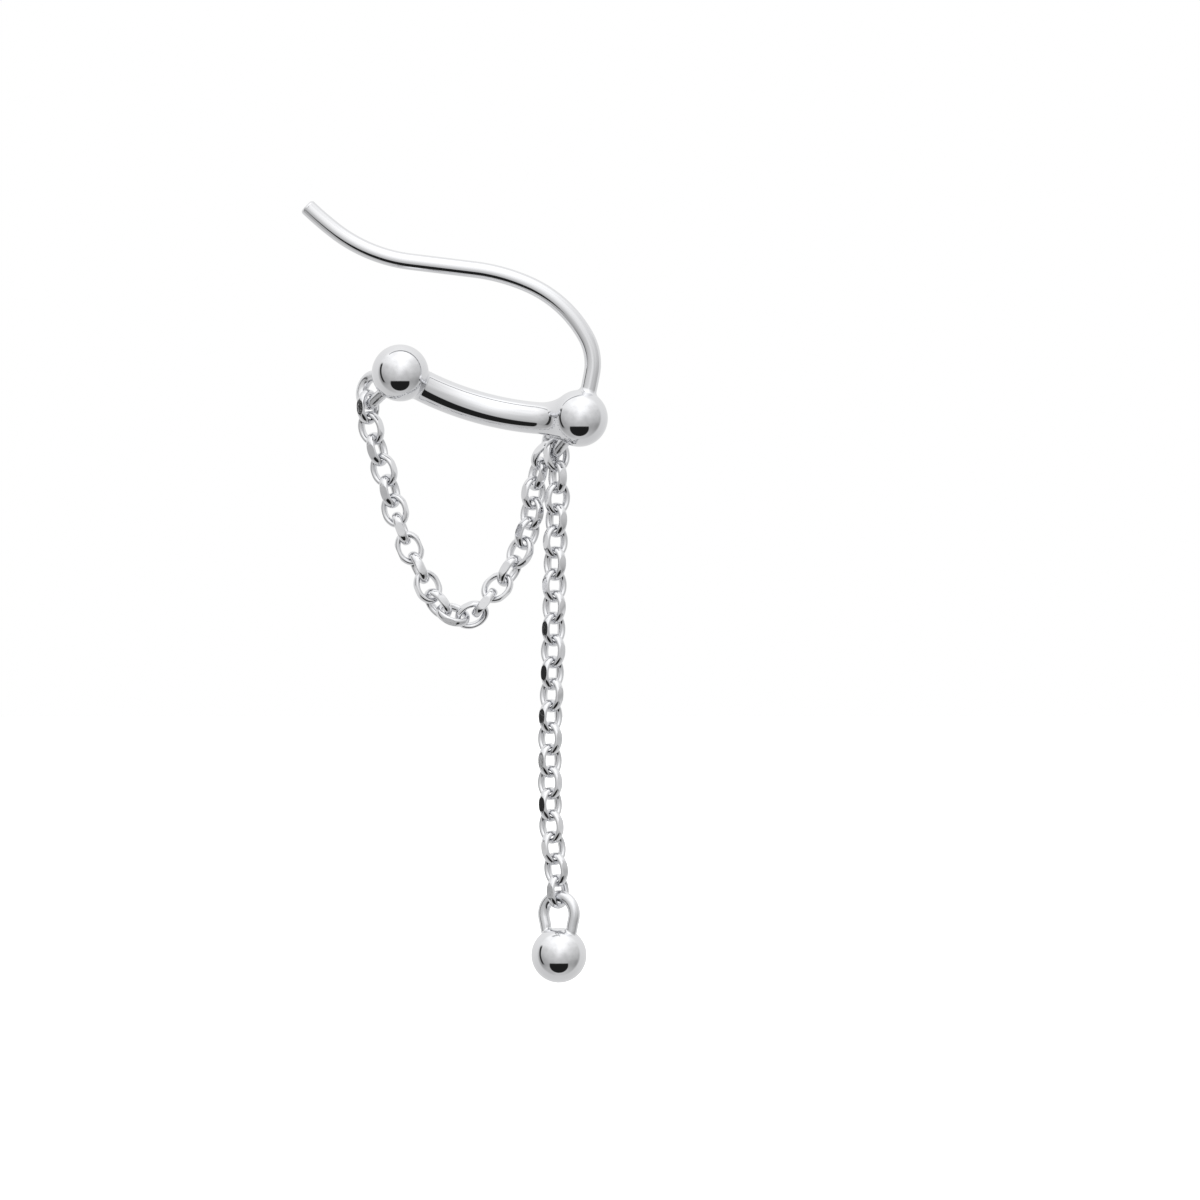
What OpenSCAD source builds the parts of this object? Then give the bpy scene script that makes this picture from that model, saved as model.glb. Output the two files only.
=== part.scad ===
// Ear climber: a short bowed bar between two balls, an ear wire that stands up from
// the second ball and runs back over the ear, a swag of fine chain slung between the
// two balls, and a long drop of the same chain with a third ball at its end.
// Millimetres. +Z is up, +X to the right and -Y to the front, as it is worn.
// The origin is the middle of the ear wire where it goes through the ear.

/* [Balls] */

// Diameter of the balls at the two ends of the bar
ball_d = 3; // [2.94:0.01:3.04]
// Diameter of the ball at the end of the drop
drop_ball_d = 2.92; // [2.8:0.02:3]

/* [Bar] */

// Diameter of the round bar between the balls
bar_d = 1.68; // [1.5:0.02:1.86]
// Depth of the bow of the bar, across the line between the balls
bar_bow = 1.32; // [1.1:0.02:1.5]
// Hollow radius of the solder where the bar meets the second ball
bar_solder = 1.2; // [0.6:0.05:1.4]
// Hollow radius of the solder where the bar meets the first ball
bar_solder_small = 0.35; // [0.2:0.05:0.7]

/* [Ear wire] */

// Diameter of the ear wire
ear_wire_d = 0.87; // [0.75:0.01:0.95]
// Hollow radius of the solder at the foot of the ear wire
ear_solder = 0.3; // [0.15:0.05:0.5]

/* [Loops] */

// Diameter of the wire of the soldered loops
loop_wire = 0.62; // [0.56:0.01:0.64]
// Radius of the round top of the loops of the bar, to the middle of the wire
loop_r = 0.76; // [0.76:0.01:0.78]
// Radius of the round top of the loop of the drop ball
drop_loop_r = 0.95; // [0.92:0.01:0.98]
// Height of each loop's top wire over the middle of its ball
loop_reach = 3.12; // [3.1:0.01:3.13]
// Lean of the loop's two legs towards each other
loop_lean = 14; // [10:1:16]

/* [Chain] */

// Thickness of the flattened wire of the chain links
link_wire = 0.325; // [0.3:0.005:0.33]
// Width of that wire, across the plane of a link
link_wire_width = 0.48; // [0.42:0.01:0.49]
// Outer length of one chain link
link_length = 1.86; // [1.85:0.01:1.87]
// Outer width of one chain link before its sides are cut flat
link_width = 1.52; // [1.5:0.01:1.53]
// Depth of the bright cut on each side of a link
link_cut = 0.085; // [0.05:0.005:0.1]

/* [Hidden] */

$fn = 96;
METAL = [0.87, 0.87, 0.88];

// Middles of the three balls
first_ball = [-10.12, 0, -0.58];
second_ball = [-0.69, 0, -2.97];
drop_ball_at = [-1.77, 1.4, -31.26];

// The way each loop stands on its ball: heading round +Z, height, roll
first_loop_turn = [135.4, -21.7, 15];
second_loop_turn = [128, -28, 15];
drop_loop_turn = [0, 90, -32];
// The legs of a loop end inside the ball, this far along from its middle
loop_root = 0.9;

// The bar is an arc between the middles of the two balls
bar_span = norm(second_ball - first_ball);
bar_slope = atan2(first_ball[2] - second_ball[2], second_ball[0] - first_ball[0]);
bar_roll = 56.4;
bar_r = bar_span * bar_span / (8 * bar_bow) + bar_bow / 2;
bar_half = asin(bar_span / 2 / bar_r);
// The solder sits where the bar has already turned this much from its end
solder_turn = 4.5;
// The thin edges of each solder run out this far under the metal that it joins
solder_sink = 0.04;
// Pieces of wire meet in a bead this much wider than the wire
bead_more = 0.02;

// Ear wire from its foot: length of each piece, turn to the left over it
wire_foot = [-0.18, -1.37];
wire_heading = 79;
wire_root = 0.7;
WIRE_LENGTH = 0;
WIRE_TURN = 1;
wire_rows = [
    [0.74, 0],
    [2.05, 40],
    [4.1, 37],
    [3, 17],
    [3.4, 0],
    [4.4, -31],
    [1.95, -6],
];

// A link is an oval of four arcs: two round ends and two flatter sides
half_l = (link_length - link_wire) / 2;
half_w = (link_width - link_wire) / 2;
end_r = 0.495;
side_r = (pow(half_w, 2) + pow(half_l - end_r, 2) - pow(end_r, 2)) / (2 * (half_w - end_r));
side_half = atan2(half_l - end_r, side_r - half_w);

// The swag, from the first ball to the second: x, y, z of a link's middle, its lean
// in the front view and its twist about its own length
swag = [
    [-11.84, 1.47, -2.35, -1, 50],
    [-11.68, 1.55, -3.47, -16, -34],
    [-11.36, 1.54, -4.58, -16, 60],
    [-11.01, 1.56, -5.67, -19, -29],
    [-10.69, 1.58, -6.78, -14, 61],
    [-10.42, 1.60, -7.79, -15, -18],
    [-10.08, 1.64, -8.76, -21, 84],
    [-9.66, 1.65, -9.79, -23, 3],
    [-9.18, 1.66, -10.82, -26, -79],
    [-8.69, 1.69, -11.83, -23, 21],
    [-8.16, 1.75, -12.73, -39, -55],
    [-7.37, 1.68, -13.30, -70, 52],
    [-6.37, 1.84, -13.31, 66, 26],
    [-5.70, 1.76, -12.67, 39, 90],
    [-5.03, 1.83, -11.87, 49, -18],
    [-4.37, 1.87, -10.98, 32, 62],
    [-3.82, 1.83, -10.00, 25, -35],
    [-3.45, 1.88, -9.00, 18, 46],
    [-3.19, 1.90, -7.95, 9, -47],
    [-3.11, 1.93, -6.88, 7, 40],
    [-2.89, 2.06, -5.86, 14, -64],
    [-2.44, 1.90, -4.90, 44, 37],
];

// The drop, from the second ball down, in the same way
drop = [
    [-1.89, 1.33, -4.88, -4, 31],
    [-1.84, 1.31, -6.04, -1, -63],
    [-1.86, 1.36, -7.17, 5, 35],
    [-1.91, 1.39, -8.31, 1, -53],
    [-1.96, 1.39, -9.44, 2, 39],
    [-1.99, 1.40, -10.60, 1, -50],
    [-2.01, 1.40, -11.75, 1, 41],
    [-2.03, 1.41, -12.90, 1, -46],
    [-2.05, 1.41, -14.06, 1, 46],
    [-2.08, 1.40, -15.22, 2, -41],
    [-2.12, 1.40, -16.38, 2, 48],
    [-2.16, 1.39, -17.53, 3, -45],
    [-2.21, 1.38, -18.69, 2, 46],
    [-2.24, 1.40, -19.84, 0, -42],
    [-2.24, 1.40, -21.00, 0, 45],
    [-2.24, 1.40, -22.16, 0, -40],
    [-2.22, 1.40, -23.31, -1, 47],
    [-2.17, 1.42, -24.47, -4, -40],
    [-2.06, 1.40, -25.60, -7, 41],
    [-1.92, 1.40, -26.75, -7, -44],
    [-1.83, 1.43, -27.90, -2, 51],
];

// A piece of round wire bent to an arc about the origin, in the XY plane
module arc_wire(r, d, start, sweep) {
    rotate([0, 0, start])
        rotate_extrude(angle = sweep)
            translate([r, 0])
                circle(d = d);
}

// A piece of the flattened wire of a link, bent in the same way. Its broad faces are
// round with a radius of the wire's own thickness, and its edges are rounder.
module flat_wire(r, start, sweep) {
    rotate([0, 0, start])
        rotate_extrude(angle = sweep)
            translate([r, 0])
                intersection() {
                    circle(d = link_wire_width);
                    translate([-link_wire / 2, 0])
                        circle(r = link_wire);
                    translate([link_wire / 2, 0])
                        circle(r = link_wire);
                }
}

// The bead that joins two pieces of round wire that run along X
module wire_bead(d) {
    rotate([0, 90, 0])
        sphere(d = d + bead_more);
}

// A hollow cone of solder between a ball at the origin and a wire along +X
module solder(r_ball, r_wire, r_hollow) {
    reach = r_ball - solder_sink + r_hollow;
    out = r_wire - solder_sink + r_hollow;
    along = sqrt(pow(reach, 2) - pow(out, 2));
    share = (r_ball - solder_sink) / reach;
    rotate([0, 90, 0])
        rotate_extrude()
            difference() {
                polygon([[0, 0], [out * share, along * share], [out, along], [0, along]]);
                translate([out, along])
                    circle(r = r_hollow);
            }
}

// A loop of round wire that stands along +X on a ball at the origin
module ball_loop(r_top) {
    middle = loop_reach - r_top;
    leg = middle - loop_root;
    rotate([90, 0, 0])
        translate([middle, 0, 0])
            arc_wire(r_top, loop_wire, -90 - loop_lean, 180 + 2 * loop_lean);
    for (side = [-1, 1])
        translate([middle - r_top * sin(loop_lean), 0, side * r_top * cos(loop_lean)])
            rotate([0, -side * loop_lean, 0]) {
                wire_bead(loop_wire);
                rotate([0, -90, 0])
                    cylinder(h = leg, d = loop_wire);
            }
}

// A ball with its loop
module looped_ball(at, d, r_top, turn) {
    translate(at) {
        sphere(d = d);
        rotate([0, -turn[1], turn[0]])
            rotate([turn[2], 0, 0])
                ball_loop(r_top);
    }
}

// The bar's own frame: X from the first ball to the second, the bow towards -Z
module bar_frame() {
    translate((first_ball + second_ball) / 2)
        rotate([0, bar_slope, 0])
            rotate([bar_roll, 0, 0])
                children();
}

// The bar with the solder at both its ends
module bar() {
    bar_frame() {
        translate([0, 0, bar_r - bar_bow])
            rotate([90, 0, 0])
                arc_wire(bar_r, bar_d, -90 - bar_half, 2 * bar_half);
        translate([-bar_span / 2, 0, 0])
            rotate([0, bar_half - solder_turn, 0])
                solder(ball_d / 2, bar_d / 2, bar_solder_small);
        translate([bar_span / 2, 0, 0])
            rotate([0, 180 - bar_half + solder_turn, 0])
                solder(ball_d / 2, bar_d / 2, bar_solder);
    }
}

// One piece of the ear wire along +X, and then the rest of it from that piece's end
module wire_run(i) {
    if (i < len(wire_rows)) {
        length = wire_rows[i][WIRE_LENGTH];
        turn = wire_rows[i][WIRE_TURN];
        side = sign(turn);
        wire_bead(ear_wire_d);
        if (turn == 0) {
            rotate([0, 90, 0])
                cylinder(h = length, d = ear_wire_d);
            translate([length, 0, 0])
                wire_run(i + 1);
        } else {
            r = length / (abs(turn) * PI / 180);
            start = side > 0 ? -90 : 90 - abs(turn);
            translate([0, side * r, 0])
                arc_wire(r, ear_wire_d, start, abs(turn));
            translate([r * sin(abs(turn)), side * r * (1 - cos(turn)), 0])
                rotate([0, 0, turn])
                    wire_run(i + 1);
        }
    }
}

// The ear wire, rooted in the second ball
module ear_wire() {
    translate([wire_foot[0], 0, wire_foot[1]])
        rotate([90, 0, 0])
            rotate([0, 0, wire_heading]) {
                wire_run(0);
                rotate([0, -90, 0])
                    cylinder(h = wire_root, d = ear_wire_d);
            }
    foot_x = wire_foot[0] - second_ball[0];
    foot_z = wire_foot[1] - second_ball[2];
    translate(second_ball)
        rotate([0, -atan2(foot_z, foot_x), 0])
            solder(ball_d / 2, ear_wire_d / 2, ear_solder);
}

// One link, its length along Z and its width along X
module link() {
    difference() {
        rotate([90, 0, 0]) {
            for (side = [0, 180])
                rotate([0, 0, side]) {
                    translate([half_w - side_r, 0, 0])
                        flat_wire(side_r, -side_half, 2 * side_half);
                    translate([0, half_l - end_r, 0])
                        flat_wire(end_r, side_half, 180 - 2 * side_half);
                }
        }
        for (side = [-1, 1])
            translate([side * (link_width / 2 - link_cut + 0.5), 0, 0])
                cube([1, 1, 3], center = true);
    }
}

// The link of one row of a table, set in place with its lean and its twist
module link_at(row) {
    color(METAL)
        translate([row[0], row[1], row[2]])
            rotate([0, row[3], 0])
                rotate([0, 0, row[4]])
                    link();
}

// Link number n of the swag
module swag_link(n) {
    link_at(swag[n - 1]);
}

// Link number n of the drop
module drop_link(n) {
    link_at(drop[n - 1]);
}

// The soldered body: bar, two balls with their loops, and ear wire
module climber_bar() {
    color(METAL)
        union() {
            looped_ball(first_ball, ball_d, loop_r, first_loop_turn);
            looped_ball(second_ball, ball_d, loop_r, second_loop_turn);
            bar();
            ear_wire();
        }
}

// The ball at the end of the drop, with its loop
module drop_ball() {
    color(METAL)
        union()
            looped_ball(drop_ball_at, drop_ball_d, drop_loop_r, drop_loop_turn);
}

module swag_link_01() { swag_link(1); }
module swag_link_02() { swag_link(2); }
module swag_link_03() { swag_link(3); }
module swag_link_04() { swag_link(4); }
module swag_link_05() { swag_link(5); }
module swag_link_06() { swag_link(6); }
module swag_link_07() { swag_link(7); }
module swag_link_08() { swag_link(8); }
module swag_link_09() { swag_link(9); }
module swag_link_10() { swag_link(10); }
module swag_link_11() { swag_link(11); }
module swag_link_12() { swag_link(12); }
module swag_link_13() { swag_link(13); }
module swag_link_14() { swag_link(14); }
module swag_link_15() { swag_link(15); }
module swag_link_16() { swag_link(16); }
module swag_link_17() { swag_link(17); }
module swag_link_18() { swag_link(18); }
module swag_link_19() { swag_link(19); }
module swag_link_20() { swag_link(20); }
module swag_link_21() { swag_link(21); }
module swag_link_22() { swag_link(22); }
module drop_link_01() { drop_link(1); }
module drop_link_02() { drop_link(2); }
module drop_link_03() { drop_link(3); }
module drop_link_04() { drop_link(4); }
module drop_link_05() { drop_link(5); }
module drop_link_06() { drop_link(6); }
module drop_link_07() { drop_link(7); }
module drop_link_08() { drop_link(8); }
module drop_link_09() { drop_link(9); }
module drop_link_10() { drop_link(10); }
module drop_link_11() { drop_link(11); }
module drop_link_12() { drop_link(12); }
module drop_link_13() { drop_link(13); }
module drop_link_14() { drop_link(14); }
module drop_link_15() { drop_link(15); }
module drop_link_16() { drop_link(16); }
module drop_link_17() { drop_link(17); }
module drop_link_18() { drop_link(18); }
module drop_link_19() { drop_link(19); }
module drop_link_20() { drop_link(20); }
module drop_link_21() { drop_link(21); }

climber_bar();
swag_link_01();
swag_link_02();
swag_link_03();
swag_link_04();
swag_link_05();
swag_link_06();
swag_link_07();
swag_link_08();
swag_link_09();
swag_link_10();
swag_link_11();
swag_link_12();
swag_link_13();
swag_link_14();
swag_link_15();
swag_link_16();
swag_link_17();
swag_link_18();
swag_link_19();
swag_link_20();
swag_link_21();
swag_link_22();
drop_link_01();
drop_link_02();
drop_link_03();
drop_link_04();
drop_link_05();
drop_link_06();
drop_link_07();
drop_link_08();
drop_link_09();
drop_link_10();
drop_link_11();
drop_link_12();
drop_link_13();
drop_link_14();
drop_link_15();
drop_link_16();
drop_link_17();
drop_link_18();
drop_link_19();
drop_link_20();
drop_link_21();
drop_ball();
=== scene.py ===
"""Ear climber: a bowed bar between two balls, an ear wire, a swag and a drop of fine chain,
and a third ball.

Metres, +Z up, +X to the right and -Y to the front, as it is worn.
Meshes are shaped in millimetres and turned to metres when they are finished.
"""

import math

import bmesh
import bpy
from bpy.props import FloatProperty, FloatVectorProperty, PointerProperty
from mathutils import Matrix, Vector


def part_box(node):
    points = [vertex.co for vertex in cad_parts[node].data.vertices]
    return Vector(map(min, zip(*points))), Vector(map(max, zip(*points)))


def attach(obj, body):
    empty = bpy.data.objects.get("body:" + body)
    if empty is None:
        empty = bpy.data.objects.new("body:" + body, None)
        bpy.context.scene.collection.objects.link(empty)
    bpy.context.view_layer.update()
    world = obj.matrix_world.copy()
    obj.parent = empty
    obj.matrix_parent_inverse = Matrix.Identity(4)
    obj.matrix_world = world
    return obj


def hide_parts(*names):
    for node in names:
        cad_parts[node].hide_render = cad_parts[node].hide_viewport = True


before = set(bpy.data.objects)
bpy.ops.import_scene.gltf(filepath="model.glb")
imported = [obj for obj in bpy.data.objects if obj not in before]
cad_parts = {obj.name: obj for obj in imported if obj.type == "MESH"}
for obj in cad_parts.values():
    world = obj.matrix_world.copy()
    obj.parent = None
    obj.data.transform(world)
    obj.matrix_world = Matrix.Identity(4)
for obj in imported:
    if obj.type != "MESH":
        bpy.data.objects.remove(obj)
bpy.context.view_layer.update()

bl_info = {
    "name": "Ear climber",
    "version": (1, 0, 0),
    "blender": (4, 5, 0),
    "location": "View3D > Sidebar > Ear climber",
    "description": "Makes the polished silver pieces of an ear climber over its packed solids",
    "category": "Object",
}

MM = 0.001

# Middles of the three balls, in millimetres
FIRST_BALL = Vector((-10.12, 0, -0.58))
SECOND_BALL = Vector((-0.69, 0, -2.97))
DROP_BALL = Vector((-1.77, 1.4, -31.26))

# The way each loop stands on its ball: heading round Z, height over the level, roll
FIRST_LOOP = (135.4, -21.7, 15)
SECOND_LOOP = (128, -28, 15)
DROP_LOOP = (0, 90, -32)
# Top of a loop's middle line from the middle of its ball, lean of its legs in degrees, and
# the length in which its wire bends over from the solder into a leg
LOOP_REACH = 3.12
LOOP_LEAN = 14
LEG_BEND = 0.25

# The first ring of a solder is sunk into its ball by this much and narrowed to this share
SOLDER_SINK = 0.06
SOLDER_TAPER = 0.96
BAR_SINK = 0.1
BAR_TAPER = 0.95

# The bar is an arc between the middles of the two balls, its bow rolled out of the front view
BAR_BOW = 1.32
BAR_ROLL = 56.4

# Ear wire from its foot: length of each piece and its turn to the left
WIRE_FOOT = Vector((-0.18, 0, -1.37))
WIRE_HEADING = 79
WIRE_PIECES = ((0.74, 0), (2.05, 40), (4.1, 37), (3, 17), (3.4, 0), (4.4, -31), (1.95, -6))
# About this far apart stand the rings of the wire, and its cut end is filed this round
WIRE_STEP = 0.12
WIRE_END_ROUND = 0.16

# Lean of each link in the front view and its twist about its own length
SWAG_TURNS = (
    (-1, 50),
    (-16, -34),
    (-16, 60),
    (-19, -29),
    (-14, 61),
    (-15, -18),
    (-21, 84),
    (-23, 3),
    (-26, -79),
    (-23, 21),
    (-39, -55),
    (-70, 52),
    (66, 26),
    (39, 90),
    (49, -18),
    (32, 62),
    (25, -35),
    (18, 46),
    (9, -47),
    (7, 40),
    (14, -64),
    (44, 37),
)
DROP_TURNS = (
    (-4, 31),
    (-1, -63),
    (5, 35),
    (1, -53),
    (2, 39),
    (1, -50),
    (1, 41),
    (1, -46),
    (1, 46),
    (2, -41),
    (2, 48),
    (3, -45),
    (2, 46),
    (0, -42),
    (0, 45),
    (0, -40),
    (-1, 47),
    (-4, -40),
    (-7, 41),
    (-7, -44),
    (-2, 51),
)

# Radius of the round ends of a link's middle line
LINK_END = 0.495

# How finely the pieces are made: parts round and up a ball, sides of each wire, rings along
# the bar between its solders, and rings along the sides and the ends of a link
BALL_SEGMENTS = (128, 80)
LOOP_SIDES = 40
BAR_SIDES = 72
EAR_WIRE_SIDES = 48
LINK_SIDES = 28
BAR_STEPS = 56
LINK_SIDE_STEPS = 12
LINK_END_STEPS = 14

# Faces that meet at more than this angle keep a sharp edge
SHARP = math.radians(28)

# Scales of the two patterns in the plating: slow clouds of tone, and polishing lines
CLOUD_SCALE = 0.35
LINE_SCALE = 4.0

# The light tent, over the face of a mirror ball whose radius is 1.
# Grey of its front by height, from the lowest point (0) to the highest (1)
TENT_FALL = (
    (0.28, 0.45),
    (0.34, 0.40),
    (0.40, 0.44),
    (0.45, 0.53),
    (0.5, 0.6),
    (0.6, 0.76),
    (0.67, 0.92),
    (0.75, 1.0),
)
# What the front loses to both sides, its strength at the middle, and its soft folds
TENT_SIDES = (-0.85, 1.39)
FOLD_SCALE = 3.2
FOLD_DEPTH = (0.88, 1.12)
# How far from the middle the front passes into the back, and how that shifts with height
TENT_SEAM = (0.71, 0.79)
SEAM_TILT = -0.045
# Grey of the back, what it gains upwards, and what it loses to both sides
BACK_GREY = 0.82
BACK_RISE = 0.15
BACK_SIDES = -0.06
# The gap: its tilt, its place, its soft edge, its left limit, its soft ends and its grey
GAP_TILT = -0.1
GAP_PLACE = 0.676
GAP_EDGE = (0.038, 0.024)
GAP_LEFT = -0.3
GAP_ENDS = (0.38, 0.28)
GAP_GREY = 0.03
# The opening: half its width and height, how low it lies, its round edge, its flat top, its grey
OPENING_HALF = (0.34, 0.285)
OPENING_LOW = 0.35
OPENING_ROUND = (1.03, 0.95)
OPENING_TOP = (-0.27, -0.31)
OPENING_GREY = 0.015

# The floor, in metres, and the camera, in millimetres: 1200 pixels across show FRAME_WIDTH
FLOOR_SIZE = 4
FLOOR_LEVEL = -0.06
SENSOR = 36
CAMERA_AWAY = 600
FRAME_WIDTH = 63.158
CAMERA_PLACE = (0.395, -CAMERA_AWAY, -12.53)


def mm(value):
    """A size property in millimetres."""
    return value / MM


def linear(hex_colour):
    """An sRGB hex colour as linear red, green, blue and alpha."""
    shares = [int(hex_colour[i : i + 2], 16) / 255 for i in (1, 3, 5)]
    return [s / 12.92 if s <= 0.04045 else ((s + 0.055) / 1.055) ** 2.4 for s in shares] + [1.0]


def turned(axis, degrees):
    """A turn about an axis through the origin."""
    return Matrix.Rotation(math.radians(degrees), 4, axis)


def length_property(name, description, millimetres):
    """A size that shows as a length in the sidebar."""
    return FloatProperty(
        name=name,
        description=description,
        default=millimetres * MM,
        unit="LENGTH",
        precision=6,
        min=0,
    )


def colour_property(name, description, hex_colour):
    """A colour that shows as a swatch in the sidebar."""
    return FloatVectorProperty(
        name=name,
        description=description,
        default=linear(hex_colour),
        size=4,
        subtype="COLOR",
    )


class ClimberSizes(bpy.types.PropertyGroup):
    """Sizes of the soldered metal and of the chain."""

    ball: length_property("Ball", "Diameter of the two balls of the bar", 3)
    drop_ball: length_property("Drop ball", "Diameter of the ball at the end of the drop", 2.92)
    bar: length_property("Bar", "Diameter of the round bar", 1.68)
    bar_solder: length_property("Bar solder", "Hollow radius of the solder at the second ball", 3)
    bar_solder_small: length_property(
        "Small bar solder", "Hollow radius of the solder at the first ball", 0.35
    )
    ear_wire: length_property("Ear wire", "Diameter of the ear wire", 0.87)
    ear_solder: length_property(
        "Ear wire solder", "Hollow radius of the solder at the foot of the ear wire", 0.3
    )
    loop_wire: length_property("Loop wire", "Diameter of the wire of the loops", 0.62)
    loop_solder: length_property(
        "Loop solder", "Hollow radius of the solder at the feet of the loops", 0.14
    )
    loop: length_property("Loop", "Radius of the round top of the two loops of the bar", 0.76)
    drop_loop: length_property(
        "Drop loop", "Radius of the round top of the loop of the drop ball", 0.95
    )
    link_wire: length_property(
        "Link wire", "Thickness of the flattened wire of the chain links", 0.325
    )
    link_wire_width: length_property(
        "Link wire width", "Width of that wire, across the plane of a link", 0.48
    )
    link_length: length_property("Link length", "Outer length of one link", 1.86)
    link_width: length_property(
        "Link width", "Outer width of one link before its sides are cut", 1.52
    )
    link_cut: length_property("Link cut", "Depth of the bright cut on each side of a link", 0.085)


class ClimberColours(bpy.types.PropertyGroup):
    """Colours of the metal and of the studio."""

    metal: colour_property("Metal", "Colour of the plated silver", "#F0F0F1")
    metal_shade: colour_property("Metal shade", "Deeper tone of the plating", "#E6E7EA")
    chain: colour_property("Chain", "Colour of the tumbled chain", "#EFEFF0")
    chain_shade: colour_property("Chain shade", "Deeper tone of the chain", "#E4E5E8")
    floor: colour_property("Floor", "Colour of the floor", "#F4F4F4")


def add_node(tree, kind, settings=None, inputs=None, stops=()):
    """Adds a node with its settings, its values or links, and the stops of its ramp."""
    node = tree.nodes.new(kind)
    for name, value in (settings or {}).items():
        setattr(node, name, value)
    for key, value in (inputs or {}).items():
        if isinstance(value, bpy.types.NodeSocket):
            tree.links.new(value, node.inputs[key])
        else:
            node.inputs[key].default_value = value
    for i, (position, grey) in enumerate(stops):
        ramp = node.color_ramp
        stop = ramp.elements[i] if i < len(ramp.elements) else ramp.elements.new(position)
        stop.position = position
        stop.color = (grey, grey, grey, 1)
    return node


def empty_tree(owner):
    """The cleared node tree of a material or world."""
    owner.use_nodes = True
    owner.node_tree.nodes.clear()
    return owner.node_tree


def rhodium_plated_silver(name, where, tones, roughness, line_scale, line_height):
    """Plated sterling silver: two close tones, a roughness that drifts, and polishing lines."""
    material = bpy.data.materials.new(name)
    tree = empty_tree(material)
    if where == "section":
        source = add_node(tree, "ShaderNodeAttribute", {"attribute_name": "section"})
        coords = source.outputs["Vector"]
    else:
        coords = add_node(tree, "ShaderNodeTexCoord").outputs["Object"]
    mapping = add_node(tree, "ShaderNodeMapping", inputs={"Vector": coords, "Scale": line_scale})
    scaled = mapping.outputs["Vector"]
    clouds = add_node(
        tree,
        "ShaderNodeTexNoise",
        inputs={"Vector": scaled, "Scale": CLOUD_SCALE, "Detail": 3.0, "Roughness": 0.5},
    )
    lines = add_node(
        tree,
        "ShaderNodeTexNoise",
        inputs={"Vector": scaled, "Scale": LINE_SCALE, "Detail": 4.0, "Roughness": 0.6},
    )
    tone = add_node(
        tree,
        "ShaderNodeMix",
        {"data_type": "RGBA"},
        {0: clouds.outputs["Fac"], 6: tones[0], 7: tones[1]},
    )
    rough = add_node(
        tree,
        "ShaderNodeMapRange",
        inputs={
            "Value": lines.outputs["Fac"],
            "From Min": 0.3,
            "From Max": 0.7,
            "To Min": roughness[0],
            "To Max": roughness[1],
        },
    )
    bump = add_node(
        tree,
        "ShaderNodeBump",
        inputs={
            "Height": lines.outputs["Fac"],
            "Strength": 1.0,
            "Distance": line_height * MM,
        },
    )
    shader = add_node(
        tree,
        "ShaderNodeBsdfPrincipled",
        inputs={
            "Base Color": tone.outputs[2],
            "Metallic": 1.0,
            "Roughness": rough.outputs["Result"],
            "Normal": bump.outputs["Normal"],
        },
    )
    add_node(tree, "ShaderNodeOutputMaterial", inputs={"Surface": shader.outputs["BSDF"]})
    return material


def metal_tones():
    """The deeper and the paler tone of the soldered metal."""
    colours = bpy.context.scene.climber_colours
    return colours.metal_shade, colours.metal


def chain_tones():
    """The deeper and the paler tone of the chain."""
    colours = bpy.context.scene.climber_colours
    return colours.chain_shade, colours.chain


def mirror_polish():
    """Buffed on a wheel: sharp reflections that only just waver."""
    return rhodium_plated_silver(
        "mirror_polished_silver", "object", metal_tones(), (0.03, 0.06), (1000, 1000, 1000), 0.0001
    )


def drawn_wire():
    """Wire pulled through a plate and tumbled: faint lines along its length."""
    return rhodium_plated_silver(
        "drawn_silver_wire", "section", metal_tones(), (0.05, 0.11), (3, 3, 0.4), 0.0003
    )


def soldered_loop():
    """Wire heated to solder it: the polishing wheel hardly reaches it, so it shines softly."""
    return rhodium_plated_silver(
        "soldered_loop_silver", "section", metal_tones(), (0.12, 0.2), (3, 3, 0.6), 0.0006
    )


def tumbled_chain():
    """Chain wire that has been tumbled: a softer shine with small dents."""
    return rhodium_plated_silver(
        "tumbled_chain_silver", "object", chain_tones(), (0.05, 0.1), (2200, 2200, 2200), 0.001
    )


def bright_cut():
    """The side of a link shaved by a diamond tool: flat and bright, with faint tool lines."""
    return rhodium_plated_silver(
        "bright_cut_silver", "object", chain_tones(), (0.03, 0.07), (600, 600, 900), 0.005
    )


MATERIALS = {}


def finish(name, maker):
    """The one material of a name, made the first time it is asked for."""
    if name not in MATERIALS:
        MATERIALS[name] = maker()
    return MATERIALS[name]


def station(middle, along, across, radius):
    """Where a ring of wire stands, which way it faces and how large it is, as one matrix."""
    z = along.normalized()
    x = (across - z * across.dot(z)).normalized()
    y = z.cross(x)
    matrix = Matrix((x * radius, y * radius, z * radius)).transposed().to_4x4()
    matrix.translation = middle
    return matrix


def edges_at(verts):
    """The edges at some vertices, each of them once."""
    return list(dict.fromkeys(edge for vert in verts for edge in vert.link_edges))


def push_wire(bm, stations, sides):
    """Pushes a ring through its stations and closes both its ends."""
    section = bm.verts.layers.float_vector.new("section")
    travelled = 0.0
    made = bmesh.ops.create_circle(bm, cap_ends=True, segments=sides, radius=1, matrix=stations[0])
    ring = made["verts"]
    inverse = stations[0].inverted()
    for vert in ring:
        place = inverse @ vert.co
        vert[section] = (place.x, place.y, 0)
    edges = edges_at(ring)
    for before, after in zip(stations, stations[1:]):
        travelled += (after.translation - before.translation).length
        made = bmesh.ops.extrude_edge_only(bm, edges=edges)["geom"]
        verts = [g for g in made if isinstance(g, bmesh.types.BMVert)]
        fresh = set(verts)
        edges = [g for g in made if isinstance(g, bmesh.types.BMEdge) and fresh.issuperset(g.verts)]
        bmesh.ops.transform(bm, matrix=after @ before.inverted(), verts=verts)
        for vert in verts:
            vert[section].z = travelled
    bmesh.ops.edgeloop_fill(bm, edges=edges)


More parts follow.
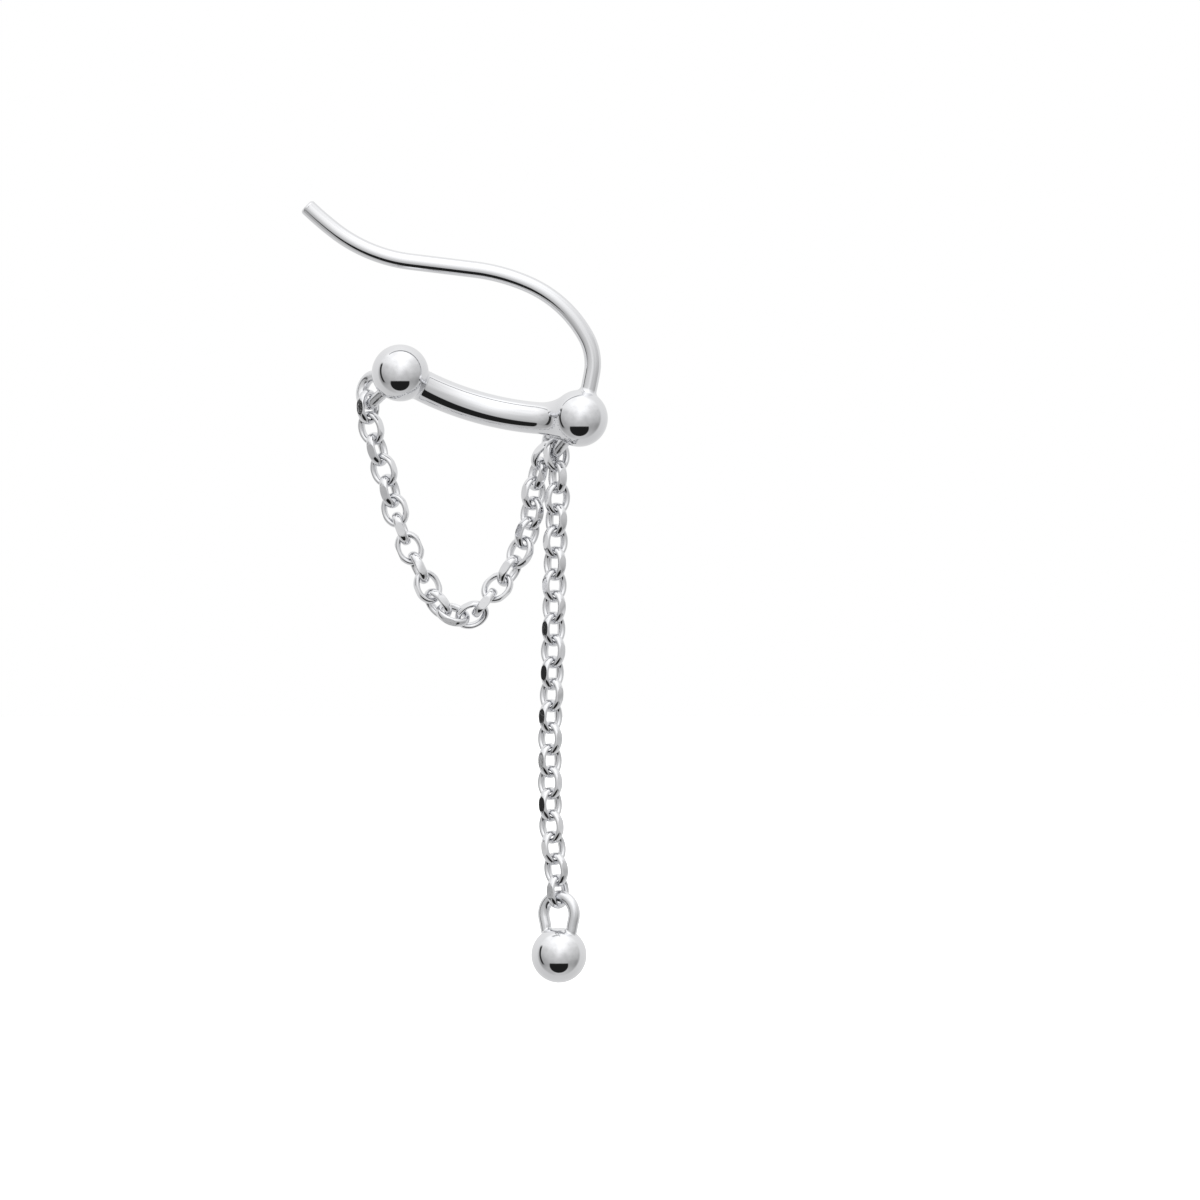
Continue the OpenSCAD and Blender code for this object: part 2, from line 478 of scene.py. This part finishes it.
def solder_rings(ball, radius, out, wire_radius, hollow, across, steps=10):
    """Stations of the hollow solder round a wire on a ball, from inside the ball outwards."""
    reach = radius + hollow
    lean = wire_radius + hollow
    height = math.sqrt(reach * reach - lean * lean)
    last = math.acos(lean / reach)
    sunk = ball + out * (height * radius / reach - SOLDER_SINK)
    rings = [station(sunk, out, across, lean * radius / reach * SOLDER_TAPER)]
    for i in range(steps + 1):
        a = last * (1 - i / steps)
        place = ball + out * (height - hollow * math.sin(a))
        rings.append(station(place, out, across, lean - hollow * math.cos(a)))
    return rings


def arc_stations(centre, start, axis, degrees, radius, steps):
    """Stations along the arc that a point makes round a centre, without the one it starts at."""
    rings = []
    for i in range(1, steps + 1):
        spin = Matrix.Rotation(math.radians(degrees * i / steps), 3, axis)
        arm = spin @ (start - centre)
        rings.append(station(centre + arm, axis.cross(arm), axis, radius))
    return rings


def ball_with_loop(bm, middle, diameter, loop_radius, turns, sizes):
    """A polished ball and the wire loop that is soldered on it."""
    heading, height, roll = turns
    facing = turned("Z", heading) @ turned("Y", -height) @ turned("X", roll)
    stand = Matrix.Translation(middle) @ facing
    ball_radius = diameter / 2
    bmesh.ops.create_uvsphere(
        bm,
        u_segments=BALL_SEGMENTS[0],
        v_segments=BALL_SEGMENTS[1],
        radius=ball_radius,
        matrix=stand @ turned("Y", 90),
    )
    wire = mm(sizes.loop_wire) / 2
    hollow = mm(sizes.loop_solder)
    top = LOOP_REACH - loop_radius
    lean = math.radians(LOOP_LEAN)
    across = Vector((0, 1, 0))
    shoulder = Vector((top - loop_radius * math.sin(lean), 0, loop_radius * math.cos(lean)))
    leg = Vector((-math.cos(lean), 0, -math.sin(lean)))
    # The leg's line meets the ball here, and the solder stands square on the ball round it
    b = shoulder.dot(leg)
    down = -b - math.sqrt(b * b - shoulder.length_squared + ball_radius**2)
    foot = (shoulder + leg * down).normalized()
    rings = solder_rings(Vector(), ball_radius, foot, wire, hollow, across)
    top_ring = rings[-1].translation
    # Past the solder the wire bends over into the leg
    leg_start = shoulder + leg * (down - (top_ring.length - ball_radius) - LEG_BEND)
    bend_steps = 6
    for i in range(1, bend_steps):
        t = i / bend_steps
        point = top_ring.lerp(leg_start, t)
        rings.append(station(point, foot * (1 - t) - leg * t, across, wire))
    leg_steps = 4
    for i in range(leg_steps + 1):
        rings.append(station(leg_start.lerp(shoulder, i / leg_steps), -leg, across, wire))
    centre = Vector((top, 0, 0))
    rings += arc_stations(centre, shoulder, across, 90 + LOOP_LEAN, wire, 26)
    # The other half of the loop is the same, mirrored
    mirror = Matrix.Diagonal((1, 1, -1, 1))
    rest = []
    for ring in reversed(rings[:-1]):
        place = mirror @ ring.translation
        along = mirror.to_3x3() @ ring.col[2].to_3d()
        radius = ring.col[2].to_3d().length
        rest.append(station(place, -along, across, radius))
    rings += rest
    ball_faces = set(bm.faces)
    push_wire(bm, [stand @ ring for ring in rings], LOOP_SIDES)
    for face in bm.faces:
        if face not in ball_faces:
            face.material_index = 1


def ball_finishes():
    """The finish of a ball and that of its loop."""
    return [finish("mirror_polish", mirror_polish), finish("soldered_loop", soldered_loop)]


def finished_piece(bm, name, materials, body, node):
    """Turns a mesh to metres, smooths it and stands it for its node."""
    bmesh.ops.recalc_face_normals(bm, faces=bm.faces)
    bmesh.ops.scale(bm, vec=(MM, MM, MM), verts=bm.verts)
    for face in bm.faces:
        face.smooth = True
    for edge in bm.edges:
        if len(edge.link_faces) == 2 and edge.calc_face_angle() > SHARP:
            edge.smooth = False
    mesh = bpy.data.meshes.new(name)
    bm.to_mesh(mesh)
    bm.free()
    for material in materials:
        mesh.materials.append(material)
    piece = bpy.data.objects.new(name, mesh)
    bpy.context.scene.collection.objects.link(piece)
    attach(piece, body)
    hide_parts(node)


class CLIMBER_OT_balls(bpy.types.Operator):
    """Make the two balls of the bar with their loops"""

    bl_idname = "climber.balls"
    bl_label = "Balls of the bar"

    def execute(self, context):
        sizes = context.scene.climber_sizes
        for name, middle, turns in (
            ("first_ball", FIRST_BALL, FIRST_LOOP),
            ("second_ball", SECOND_BALL, SECOND_LOOP),
        ):
            bm = bmesh.new()
            ball_with_loop(bm, middle, mm(sizes.ball), mm(sizes.loop), turns, sizes)
            finished_piece(bm, name, ball_finishes(), "climber", "climber_bar")
        return {"FINISHED"}


class CLIMBER_OT_bar(bpy.types.Operator):
    """Make the bowed bar with the solder at both its ends"""

    bl_idname = "climber.bar"
    bl_label = "Bowed bar"

    def execute(self, context):
        sizes = context.scene.climber_sizes
        span = (SECOND_BALL - FIRST_BALL).length
        fall = FIRST_BALL.z - SECOND_BALL.z
        slope = math.degrees(math.atan2(fall, SECOND_BALL.x - FIRST_BALL.x))
        middle = Matrix.Translation((FIRST_BALL + SECOND_BALL) / 2)
        stand = middle @ turned("Y", slope) @ turned("X", BAR_ROLL)
        arc_radius = span * span / (8 * BAR_BOW) + BAR_BOW / 2
        half = math.asin(span / 2 / arc_radius)
        centre = Vector((0, 0, arc_radius - BAR_BOW))
        across = Vector((0, 1, 0))
        radius = mm(sizes.bar) / 2
        ball_radius = mm(sizes.ball) / 2

        def on_arc(angle):
            """A point of the bar's middle line and its direction, by its angle from mid-bow."""
            point = centre + Vector((math.sin(angle), 0, -math.cos(angle))) * arc_radius
            return point, Vector((math.cos(angle), 0, math.sin(angle)))

        def end(side, hollow, steps):
            """Stations of the solder at one end, from inside the ball outwards."""
            ball = Vector((side * span / 2, 0, 0))
            reach = ball_radius + hollow
            lean = radius + hollow
            height = math.sqrt(reach * reach - lean * lean)
            last = math.acos(lean / reach)
            sunk = height * ball_radius / reach - BAR_SINK
            rows = [(sunk, lean * ball_radius / reach * BAR_TAPER)]
            for i in range(steps + 1):
                a = last * (1 - i / steps)
                rows.append((height - hollow * math.sin(a), lean - hollow * math.cos(a)))
            rings = []
            for i, (away, ring_radius) in enumerate(rows):
                # A chord of this length from the ball's middle reaches the arc at this angle
                angle = side * (half - 2 * math.asin(away / 2 / arc_radius))
                point, along = on_arc(angle)
                radial = (ball - point).normalized() * side
                t = max(0, i - 1) / steps
                t = t * t * (3 - 2 * t)
                rings.append(station(point, radial * (1 - t) + along * t, across, ring_radius))
            return rings, angle

        first, start = end(-1, mm(sizes.bar_solder_small), 12)
        second, stop = end(1, mm(sizes.bar_solder), 22)
        rings = list(first)
        for i in range(1, BAR_STEPS):
            point, along = on_arc(start + (stop - start) * i / BAR_STEPS)
            rings.append(station(point, along, across, radius))
        rings += reversed(second)
        bm = bmesh.new()
        push_wire(bm, [stand @ ring for ring in rings], BAR_SIDES)
        polish = finish("mirror_polish", mirror_polish)
        finished_piece(bm, "bowed_bar", [polish], "climber", "climber_bar")
        return {"FINISHED"}


class CLIMBER_OT_ear_wire(bpy.types.Operator):
    """Make the ear wire, from its soldered foot to its rounded end"""

    bl_idname = "climber.ear_wire"
    bl_label = "Ear wire"

    def execute(self, context):
        sizes = context.scene.climber_sizes
        radius = mm(sizes.ear_wire) / 2
        ball_radius = mm(sizes.ball) / 2
        across = Vector((0, -1, 0))
        heading = math.radians(WIRE_HEADING)
        along = Vector((math.cos(heading), 0, math.sin(heading)))
        out = (WIRE_FOOT - SECOND_BALL).normalized()
        hollow = mm(sizes.ear_solder)
        rings = solder_rings(SECOND_BALL, ball_radius, out, radius, hollow, across, steps=14)
        point = WIRE_FOOT.copy()
        begun = rings[-1].translation
        for length, turn in WIRE_PIECES:
            steps = max(4, round(length / WIRE_STEP))
            if turn == 0:
                places = [
                    (point + along * (length * i / steps), along) for i in range(1, steps + 1)
                ]
            else:
                reach = length / abs(math.radians(turn))
                left = across.cross(along)
                centre = point + left * reach * math.copysign(1, turn)
                places = []
                for i in range(1, steps + 1):
                    spin = Matrix.Rotation(math.radians(turn * i / steps), 3, across)
                    places.append((centre + spin @ (point - centre), spin @ along))
            # Rings that would stand in the solder are left out
            for place, way in places:
                if (place - SECOND_BALL).dot(out) > (begun - SECOND_BALL).dot(out) + WIRE_STEP:
                    rings.append(station(place, way, across, radius))
            point, along = places[-1]
        # The cut end is filed round at its edge
        edge = WIRE_END_ROUND
        rings[-1] = station(point - along * edge, along, across, radius)
        edge_steps = 6
        for i in range(1, edge_steps + 1):
            a = math.radians(90 * i / edge_steps)
            place = point - along * edge * (1 - math.sin(a))
            rings.append(station(place, along, across, radius - edge * (1 - math.cos(a))))
        bm = bmesh.new()
        push_wire(bm, rings, EAR_WIRE_SIDES)
        drawn = finish("drawn_wire", drawn_wire)
        finished_piece(bm, "ear_wire", [drawn], "climber", "climber_bar")
        return {"FINISHED"}


def chain_link(bm, sizes):
    """One link: flattened wire spun round the four arcs of an oval, then cut flat at its sides."""
    wire = mm(sizes.link_wire) / 2
    half_long = mm(sizes.link_length) / 2 - wire
    half_wide = mm(sizes.link_width) / 2 - wire
    rise = half_long - LINK_END
    side = (half_wide**2 + rise**2 - LINK_END**2) / (2 * (half_wide - LINK_END))
    bend = math.atan2(rise, side - half_wide)
    start = Vector((half_wide - side + side * math.cos(-bend), 0, side * math.sin(-bend)))
    along = Vector((math.sin(bend), 0, math.cos(bend)))
    flattened = Matrix.Diagonal((mm(sizes.link_wire_width) / 2, wire, 1, 1))
    stand = station(start, along, Vector((0, 1, 0)), 1) @ flattened
    made = bmesh.ops.create_circle(bm, cap_ends=False, segments=LINK_SIDES, radius=1, matrix=stand)
    ring = made["verts"]
    geom = ring + edges_at(ring)
    arcs = (
        (Vector((half_wide - side, 0, 0)), 2 * bend, LINK_SIDE_STEPS),
        (Vector((0, 0, rise)), math.pi - 2 * bend, LINK_END_STEPS),
        (Vector((side - half_wide, 0, 0)), 2 * bend, LINK_SIDE_STEPS),
        (Vector((0, 0, -rise)), math.pi - 2 * bend, LINK_END_STEPS),
    )
    for centre, angle, steps in arcs:
        spun = bmesh.ops.spin(
            bm, geom=geom, cent=centre, axis=(0, -1, 0), angle=angle, steps=steps
        )
        geom = spun["geom_last"]
    bmesh.ops.remove_doubles(bm, verts=bm.verts, dist=0.002)
    # The bright cuts: both sides are shaved flat and closed with a face of their own finish
    for way in (-1, 1):
        cut = bmesh.ops.bisect_plane(
            bm,
            geom=bm.verts[:] + bm.edges[:] + bm.faces[:],
            dist=0.0005,
            plane_co=(way * (mm(sizes.link_width) / 2 - mm(sizes.link_cut)), 0, 0),
            plane_no=(way, 0, 0),
            clear_outer=True,
        )["geom_cut"]
        rim = [g for g in cut if isinstance(g, bmesh.types.BMEdge)]
        for face in bmesh.ops.edgeloop_fill(bm, edges=rim)["faces"]:
            face.material_index = 1


def place_links(names, turns, label, sizes):
    """Sets one link in the place of each node, with its lean and twist."""
    materials = [finish("tumbled_chain", tumbled_chain), finish("bright_cut", bright_cut)]
    for node, (lean, twist) in zip(names, turns):
        low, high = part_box(node)
        bm = bmesh.new()
        chain_link(bm, sizes)
        middle = Matrix.Translation((low + high) / 2 / MM)
        stand = middle @ turned("Y", lean) @ turned("Z", twist)
        bmesh.ops.transform(bm, matrix=stand, verts=bm.verts)
        finished_piece(bm, label + node[-3:], materials, "climber", node)


class CLIMBER_OT_swag(bpy.types.Operator):
    """Make the links of the swag between the two balls"""

    bl_idname = "climber.swag"
    bl_label = "Swag of chain"

    def execute(self, context):
        names = [f"swag_link_{n:02d}" for n in range(1, len(SWAG_TURNS) + 1)]
        place_links(names, SWAG_TURNS, "swag_chain", context.scene.climber_sizes)
        return {"FINISHED"}


class CLIMBER_OT_drop(bpy.types.Operator):
    """Make the links of the long drop"""

    bl_idname = "climber.drop"
    bl_label = "Drop of chain"

    def execute(self, context):
        names = [f"drop_link_{n:02d}" for n in range(1, len(DROP_TURNS) + 1)]
        place_links(names, DROP_TURNS, "drop_chain", context.scene.climber_sizes)
        return {"FINISHED"}


class CLIMBER_OT_drop_ball(bpy.types.Operator):
    """Make the ball at the end of the drop with its loop"""

    bl_idname = "climber.drop_ball"
    bl_label = "Ball of the drop"

    def execute(self, context):
        sizes = context.scene.climber_sizes
        bm = bmesh.new()
        ball_with_loop(bm, DROP_BALL, mm(sizes.drop_ball), mm(sizes.drop_loop), DROP_LOOP, sizes)
        finished_piece(bm, "end_ball", ball_finishes(), "drop", "drop_ball")
        return {"FINISHED"}


def light_tent(scene):
    """The white tent round the object, as a polished ball shows it: pale behind, white over it,
    grey at both sides, a dark opening low in front and a thin dark gap at the left."""
    world = bpy.data.worlds.new("light_tent")
    scene.world = world
    tree = empty_tree(world)
    number, vector, remap = "ShaderNodeMath", "ShaderNodeVectorMath", "ShaderNodeMapRange"
    times = {"operation": "MULTIPLY"}
    times_plus = {"operation": "MULTIPLY_ADD"}
    unsigned = {"operation": "ABSOLUTE"}
    soft = {"interpolation_type": "SMOOTHSTEP"}

    # The point of a mirror ball, seen from the front, that shows each direction
    away = add_node(tree, "ShaderNodeTexCoord").outputs["Generated"]
    half = add_node(tree, vector, {"operation": "ADD"}, {0: away, 1: (0, -1, 0)}).outputs[0]
    ball = add_node(tree, vector, {"operation": "NORMALIZE"}, {0: half}).outputs[0]
    axes = add_node(tree, "ShaderNodeSeparateXYZ", inputs={0: ball}).outputs
    over, aside = axes["Z"], axes["X"]
    flat = add_node(tree, vector, times, {0: ball, 1: (1, 0, 1)}).outputs[0]
    rim = add_node(tree, vector, {"operation": "LENGTH"}, {0: flat}).outputs["Value"]

    # The front: a fall of light from its top, darker to both sides
    span = {"Value": over, "From Min": -1.0, "From Max": 1.0}
    height = add_node(tree, remap, inputs=span).outputs[0]
    ramp = add_node(tree, "ShaderNodeValToRGB", inputs={"Fac": height}, stops=TENT_FALL)
    spread = add_node(tree, number, unsigned, {0: aside}).outputs[0]
    sides = add_node(
        tree, number, times_plus, {0: spread, 1: TENT_SIDES[0], 2: TENT_SIDES[1]}
    ).outputs[0]
    front = add_node(tree, number, times, {0: ramp.outputs["Color"], 1: sides}).outputs[0]
    # The cloth of the tent hangs in soft folds
    noise = add_node(
        tree, "ShaderNodeTexNoise", inputs={"Vector": ball, "Scale": FOLD_SCALE, "Detail": 2.0}
    )
    folds = add_node(
        tree,
        remap,
        inputs={
            "Value": noise.outputs["Fac"],
            "From Min": 0.3,
            "From Max": 0.7,
            "To Min": FOLD_DEPTH[0],
            "To Max": FOLD_DEPTH[1],
        },
    ).outputs[0]
    front = add_node(tree, number, times, {0: front, 1: folds}).outputs[0]

    # Behind the object it is paler above than below, and a little darker at both ends
    shifted = add_node(tree, number, times_plus, {0: over, 1: SEAM_TILT, 2: rim}).outputs[0]
    behind = add_node(
        tree, remap, soft, {"Value": shifted, "From Min": TENT_SEAM[0], "From Max": TENT_SEAM[1]}
    ).outputs[0]
    way = add_node(tree, "ShaderNodeSeparateXYZ", inputs={0: away}).outputs
    back = add_node(tree, number, times_plus, {0: way["Z"], 1: BACK_RISE, 2: BACK_GREY}).outputs[0]
    aslant = add_node(tree, number, unsigned, {0: way["X"]}).outputs[0]
    back = add_node(tree, number, times_plus, {0: aslant, 1: BACK_SIDES, 2: back}).outputs[0]
    tent = add_node(tree, "ShaderNodeMix", inputs={0: behind, 2: front, 3: back}).outputs[0]

    # The gap: a thin arc at the left, where the tent's front meets its side
    tilted = add_node(tree, number, times_plus, {0: over, 1: GAP_TILT, 2: rim}).outputs[0]
    off = add_node(tree, number, {"operation": "SUBTRACT"}, {0: tilted, 1: GAP_PLACE}).outputs[0]
    apart = add_node(tree, number, unsigned, {0: off}).outputs[0]
    thin = add_node(
        tree, remap, soft, {"Value": apart, "From Min": GAP_EDGE[0], "From Max": GAP_EDGE[1]}
    ).outputs[0]
    left = add_node(tree, number, {"operation": "LESS_THAN"}, {0: aside, 1: GAP_LEFT}).outputs[0]
    level = add_node(tree, number, unsigned, {0: over}).outputs[0]
    short = add_node(
        tree, remap, soft, {"Value": level, "From Min": GAP_ENDS[0], "From Max": GAP_ENDS[1]}
    ).outputs[0]
    gap = add_node(tree, number, times, {0: thin, 1: left}).outputs[0]
    gap = add_node(tree, number, times, {0: gap, 1: short}).outputs[0]
    tent = add_node(tree, "ShaderNodeMix", inputs={0: gap, 2: tent, 3: GAP_GREY}).outputs[0]

    # The opening: low in front, flat at its top and round below
    wide, high = OPENING_HALF
    oval = add_node(
        tree,
        vector,
        times_plus,
        {0: flat, 1: (1 / wide, 0, 1 / high), 2: (0, 0, OPENING_LOW / high)},
    ).outputs[0]
    far = add_node(tree, vector, {"operation": "LENGTH"}, {0: oval}).outputs["Value"]
    round_edge = add_node(
        tree,
        remap,
        soft,
        {"Value": far, "From Min": OPENING_ROUND[0], "From Max": OPENING_ROUND[1]},
    ).outputs[0]
    flat_edge = add_node(
        tree, remap, soft, {"Value": over, "From Min": OPENING_TOP[0], "From Max": OPENING_TOP[1]}
    ).outputs[0]
    dark = add_node(tree, number, times, {0: round_edge, 1: flat_edge}).outputs[0]
    tent = add_node(tree, "ShaderNodeMix", inputs={0: dark, 2: tent, 3: OPENING_GREY}).outputs[0]

    # The camera sees plain white where it looks past everything
    seen = add_node(tree, "ShaderNodeLightPath").outputs["Is Camera Ray"]
    shown = add_node(tree, "ShaderNodeMix", inputs={0: seen, 2: tent, 3: 1.0}).outputs[0]
    light = add_node(tree, "ShaderNodeBackground", inputs={"Color": shown, "Strength": 1.0})
    add_node(tree, "ShaderNodeOutputWorld", inputs={"Surface": light.outputs[0]})


class CLIMBER_OT_stage(bpy.types.Operator):
    """Set the floor, the light tent and the camera"""

    bl_idname = "climber.stage"
    bl_label = "Floor, light and camera"

    def execute(self, context):
        scene = context.scene
        light_tent(scene)
        scene.view_settings.view_transform = "Standard"

        paper = bpy.data.materials.new("pale_paper_floor")
        tree = empty_tree(paper)
        coords = add_node(tree, "ShaderNodeTexCoord").outputs["Object"]
        # The paper's grain, drawn about a millimetre wide, coarser than on real paper
        grain = add_node(
            tree, "ShaderNodeTexNoise", inputs={"Vector": coords, "Scale": 900.0, "Detail": 2.0}
        )
        lift = add_node(
            tree,
            "ShaderNodeBump",
            inputs={"Height": grain.outputs["Fac"], "Strength": 0.1, "Distance": 0.02 * MM},
        )
        shader = add_node(
            tree,
            "ShaderNodeBsdfPrincipled",
            inputs={
                "Base Color": scene.climber_colours.floor,
                "Roughness": 0.9,
                "Normal": lift.outputs["Normal"],
                "Emission Color": (1, 1, 1, 1),
                "Emission Strength": 0.5,
            },
        )
        add_node(tree, "ShaderNodeOutputMaterial", inputs={"Surface": shader.outputs["BSDF"]})
        bm = bmesh.new()
        level = Matrix.Translation((0, 0, FLOOR_LEVEL))
        bmesh.ops.create_grid(bm, x_segments=1, y_segments=1, size=FLOOR_SIZE, matrix=level)
        mesh = bpy.data.meshes.new("floor")
        bm.to_mesh(mesh)
        bm.free()
        mesh.materials.append(paper)
        floor = bpy.data.objects.new("floor", mesh)
        floor.visible_glossy = False
        scene.collection.objects.link(floor)

        camera = bpy.data.objects.new("camera", bpy.data.cameras.new("camera"))
        scene.collection.objects.link(camera)
        camera.data.sensor_width = SENSOR
        camera.data.lens = SENSOR * CAMERA_AWAY / FRAME_WIDTH
        camera.data.clip_start = 0.01
        camera.data.clip_end = 20
        camera.location = Vector(CAMERA_PLACE) * MM
        camera.rotation_euler = (math.radians(90), 0, 0)
        scene.camera = camera
        return {"FINISHED"}


class CLIMBER_PT_panel(bpy.types.Panel):
    """The sizes, colours and steps of the ear climber"""

    bl_label = "Ear climber"
    bl_idname = "CLIMBER_PT_panel"
    bl_space_type = "VIEW_3D"
    bl_region_type = "UI"
    bl_category = "Ear climber"

    def draw(self, context):
        for group in (context.scene.climber_sizes, context.scene.climber_colours):
            for name in group.bl_rna.properties.keys():
                if name not in ("rna_type", "name"):
                    self.layout.prop(group, name)
        for step in STEPS:
            self.layout.operator(step.bl_idname)


STEPS = (
    CLIMBER_OT_balls,
    CLIMBER_OT_bar,
    CLIMBER_OT_ear_wire,
    CLIMBER_OT_swag,
    CLIMBER_OT_drop,
    CLIMBER_OT_drop_ball,
    CLIMBER_OT_stage,
)
CLASSES = (ClimberSizes, ClimberColours) + STEPS + (CLIMBER_PT_panel,)


def register():
    """Registers the classes and hangs the settings on the scene."""
    for each in CLASSES:
        bpy.utils.register_class(each)
    bpy.types.Scene.climber_sizes = PointerProperty(type=ClimberSizes)
    bpy.types.Scene.climber_colours = PointerProperty(type=ClimberColours)


def unregister():
    """Takes the settings and the classes away again."""
    del bpy.types.Scene.climber_colours
    del bpy.types.Scene.climber_sizes
    for each in reversed(CLASSES):
        bpy.utils.unregister_class(each)


def main():
    """Makes every piece in order."""
    register()
    bpy.ops.climber.balls()
    bpy.ops.climber.bar()
    bpy.ops.climber.ear_wire()
    bpy.ops.climber.swag()
    bpy.ops.climber.drop()
    bpy.ops.climber.drop_ball()
    bpy.ops.climber.stage()


if __name__ == "__main__":
    main()
